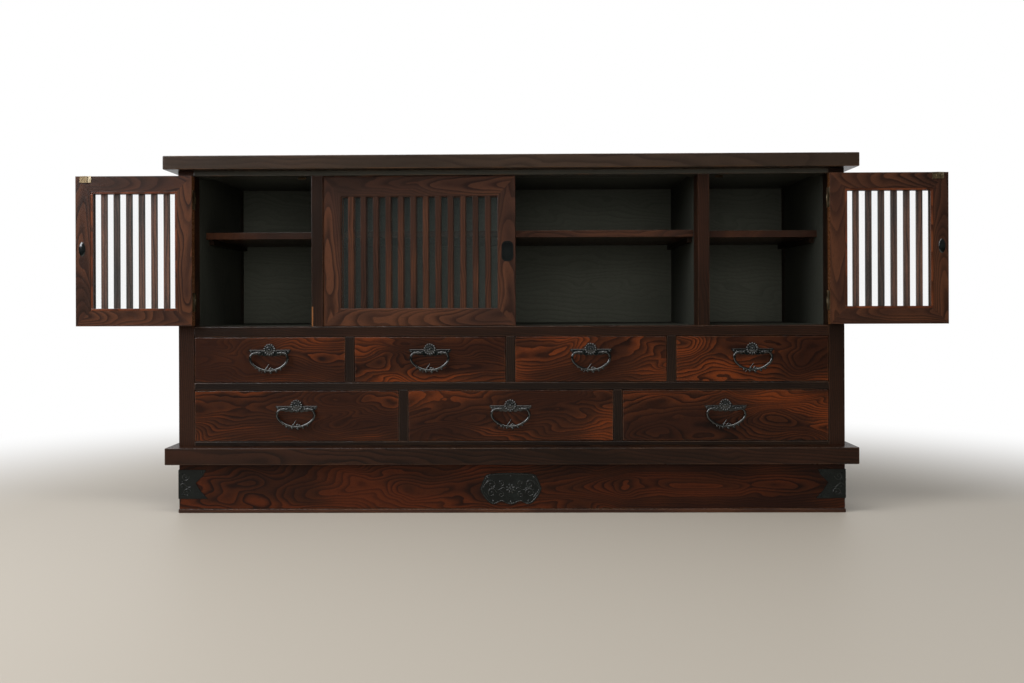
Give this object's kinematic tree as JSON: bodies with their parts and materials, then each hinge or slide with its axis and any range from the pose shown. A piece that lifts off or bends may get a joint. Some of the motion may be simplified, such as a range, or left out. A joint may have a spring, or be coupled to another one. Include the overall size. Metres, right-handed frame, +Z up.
{
  "type": "sideboard",
  "caption": "Low sideboard with folded-back hinged lattice doors, sliding lattice doors, open shelved bays and two rows of drawers with iron bail handles on a plinth.",
  "frame": {"origin": "on the floor, under the middle of the whole sideboard's width and depth", "axes": "+X to the right as seen from the front, +Y to the back, +Z up; the drawers and doors face -Y"},
  "size_m": [2.2572, 0.475, 0.933],
  "materials": {
    "dark_lacquered_wood": "worn dark brown lacquer over open-grained hardwood",
    "red_lacquered_wood": "clear red-brown lacquer over strongly figured hardwood",
    "stained_interior_wood": "matt charcoal stain",
    "pale_drawer_wood": "bare planed softwood",
    "blackened_iron": "matt blackened wrought iron",
    "aged_brass": "dulled brass",
    "clear_glass": "clear float glass"
  },
  "bodies": {
    "carcass": {"top_board": "dark_lacquered_wood", "side_panels": "dark_lacquered_wood", "corner_posts": "dark_lacquered_wood", "front_rails": "dark_lacquered_wood", "bay_dividers": "dark_lacquered_wood", "bay_shelves": "dark_lacquered_wood", "drawer_partitions": "dark_lacquered_wood", "waist_board": "dark_lacquered_wood", "back_panel": "stained_interior_wood", "dust_boards": "stained_interior_wood", "plinth_boards": "red_lacquered_wood", "plinth_sole": "red_lacquered_wood", "plinth_irons": "blackened_iron", "hinge_leaves_and_strikes": "aged_brass"},
    "left_hinged_door": {"left_hinged_door_frame": "red_lacquered_wood", "left_hinged_door_lattice": "dark_lacquered_wood", "left_hinged_door_glass": "clear_glass", "left_hinged_door_pull": "blackened_iron", "left_hinged_door_brassware": "aged_brass"},
    "right_hinged_door": {"right_hinged_door_frame": "red_lacquered_wood", "right_hinged_door_lattice": "dark_lacquered_wood", "right_hinged_door_glass": "clear_glass", "right_hinged_door_pull": "blackened_iron", "right_hinged_door_brassware": "aged_brass"},
    "left_sliding_door": {"left_sliding_door_frame": "red_lacquered_wood", "left_sliding_door_lattice": "dark_lacquered_wood", "left_sliding_door_glass": "clear_glass", "left_sliding_door_pull": "blackened_iron"},
    "right_sliding_door": {"right_sliding_door_frame": "red_lacquered_wood", "right_sliding_door_lattice": "dark_lacquered_wood", "right_sliding_door_glass": "clear_glass", "right_sliding_door_pull": "blackened_iron"},
    "upper_drawer_1": {"upper_drawer_1_front": "red_lacquered_wood", "upper_drawer_1_box": "pale_drawer_wood", "upper_drawer_1_handle_plate": "blackened_iron"},
    "upper_drawer_1_bail": {"upper_drawer_1_bail": "blackened_iron"},
    "upper_drawer_2": {"upper_drawer_2_front": "red_lacquered_wood", "upper_drawer_2_box": "pale_drawer_wood", "upper_drawer_2_handle_plate": "blackened_iron"},
    "upper_drawer_2_bail": {"upper_drawer_2_bail": "blackened_iron"},
    "upper_drawer_3": {"upper_drawer_3_front": "red_lacquered_wood", "upper_drawer_3_box": "pale_drawer_wood", "upper_drawer_3_handle_plate": "blackened_iron"},
    "upper_drawer_3_bail": {"upper_drawer_3_bail": "blackened_iron"},
    "upper_drawer_4": {"upper_drawer_4_front": "red_lacquered_wood", "upper_drawer_4_box": "pale_drawer_wood", "upper_drawer_4_handle_plate": "blackened_iron"},
    "upper_drawer_4_bail": {"upper_drawer_4_bail": "blackened_iron"},
    "lower_drawer_1": {"lower_drawer_1_front": "red_lacquered_wood", "lower_drawer_1_box": "pale_drawer_wood", "lower_drawer_1_handle_plate": "blackened_iron"},
    "lower_drawer_1_bail": {"lower_drawer_1_bail": "blackened_iron"},
    "lower_drawer_2": {"lower_drawer_2_front": "red_lacquered_wood", "lower_drawer_2_box": "pale_drawer_wood", "lower_drawer_2_handle_plate": "blackened_iron"},
    "lower_drawer_2_bail": {"lower_drawer_2_bail": "blackened_iron"},
    "lower_drawer_3": {"lower_drawer_3_front": "red_lacquered_wood", "lower_drawer_3_box": "pale_drawer_wood", "lower_drawer_3_handle_plate": "blackened_iron"},
    "lower_drawer_3_bail": {"lower_drawer_3_bail": "blackened_iron"}
  },
  "joints": [
    {"name": "left_hinged_door_swing", "type": "hinge", "parent": "carcass", "child": "left_hinged_door", "pos_m": [-0.8258, -0.2107, 0.686], "axis": [0, 0, 1], "range_deg": [0, 180]},
    {"name": "right_hinged_door_swing", "type": "hinge", "parent": "carcass", "child": "right_hinged_door", "pos_m": [0.8258, -0.2107, 0.686], "axis": [0, 0, -1], "range_deg": [0, 180]},
    {"name": "left_sliding_door_slide", "type": "slide", "parent": "carcass", "child": "left_sliding_door", "axis": [1, 0, 0], "range_m": [0, 0.4754]},
    {"name": "right_sliding_door_slide", "type": "slide", "parent": "carcass", "child": "right_sliding_door", "axis": [1, 0, 0], "range_m": [0, 0.4754]},
    {"name": "upper_drawer_1_slide", "type": "slide", "parent": "carcass", "child": "upper_drawer_1", "axis": [0, -1, 0], "range_m": [0, 0.32]},
    {"name": "upper_drawer_1_bail_swing", "type": "hinge", "parent": "upper_drawer_1", "child": "upper_drawer_1_bail", "pos_m": [-0.63038, -0.2165, 0.419], "axis": [-1, 0, 0], "range_deg": [0, 100]},
    {"name": "upper_drawer_2_slide", "type": "slide", "parent": "carcass", "child": "upper_drawer_2", "axis": [0, -1, 0], "range_m": [0, 0.32]},
    {"name": "upper_drawer_2_bail_swing", "type": "hinge", "parent": "upper_drawer_2", "child": "upper_drawer_2_bail", "pos_m": [-0.21013, -0.2165, 0.419], "axis": [-1, 0, 0], "range_deg": [0, 100]},
    {"name": "upper_drawer_3_slide", "type": "slide", "parent": "carcass", "child": "upper_drawer_3", "axis": [0, -1, 0], "range_m": [0, 0.32]},
    {"name": "upper_drawer_3_bail_swing", "type": "hinge", "parent": "upper_drawer_3", "child": "upper_drawer_3_bail", "pos_m": [0.21013, -0.2165, 0.419], "axis": [-1, 0, 0], "range_deg": [0, 100]},
    {"name": "upper_drawer_4_slide", "type": "slide", "parent": "carcass", "child": "upper_drawer_4", "axis": [0, -1, 0], "range_m": [0, 0.32]},
    {"name": "upper_drawer_4_bail_swing", "type": "hinge", "parent": "upper_drawer_4", "child": "upper_drawer_4_bail", "pos_m": [0.63038, -0.2165, 0.419], "axis": [-1, 0, 0], "range_deg": [0, 100]},
    {"name": "lower_drawer_1_slide", "type": "slide", "parent": "carcass", "child": "lower_drawer_1", "axis": [0, -1, 0], "range_m": [0, 0.32]},
    {"name": "lower_drawer_1_bail_swing", "type": "hinge", "parent": "lower_drawer_1", "child": "lower_drawer_1_bail", "pos_m": [-0.56033, -0.2165, 0.272], "axis": [-1, 0, 0], "range_deg": [0, 100]},
    {"name": "lower_drawer_2_slide", "type": "slide", "parent": "carcass", "child": "lower_drawer_2", "axis": [0, -1, 0], "range_m": [0, 0.32]},
    {"name": "lower_drawer_2_bail_swing", "type": "hinge", "parent": "lower_drawer_2", "child": "lower_drawer_2_bail", "pos_m": [0, -0.2165, 0.272], "axis": [-1, 0, 0], "range_deg": [0, 100]},
    {"name": "lower_drawer_3_slide", "type": "slide", "parent": "carcass", "child": "lower_drawer_3", "axis": [0, -1, 0], "range_m": [0, 0.32]},
    {"name": "lower_drawer_3_bail_swing", "type": "hinge", "parent": "lower_drawer_3", "child": "lower_drawer_3_bail", "pos_m": [0.56033, -0.2165, 0.272], "axis": [-1, 0, 0], "range_deg": [0, 100]}
  ]
}
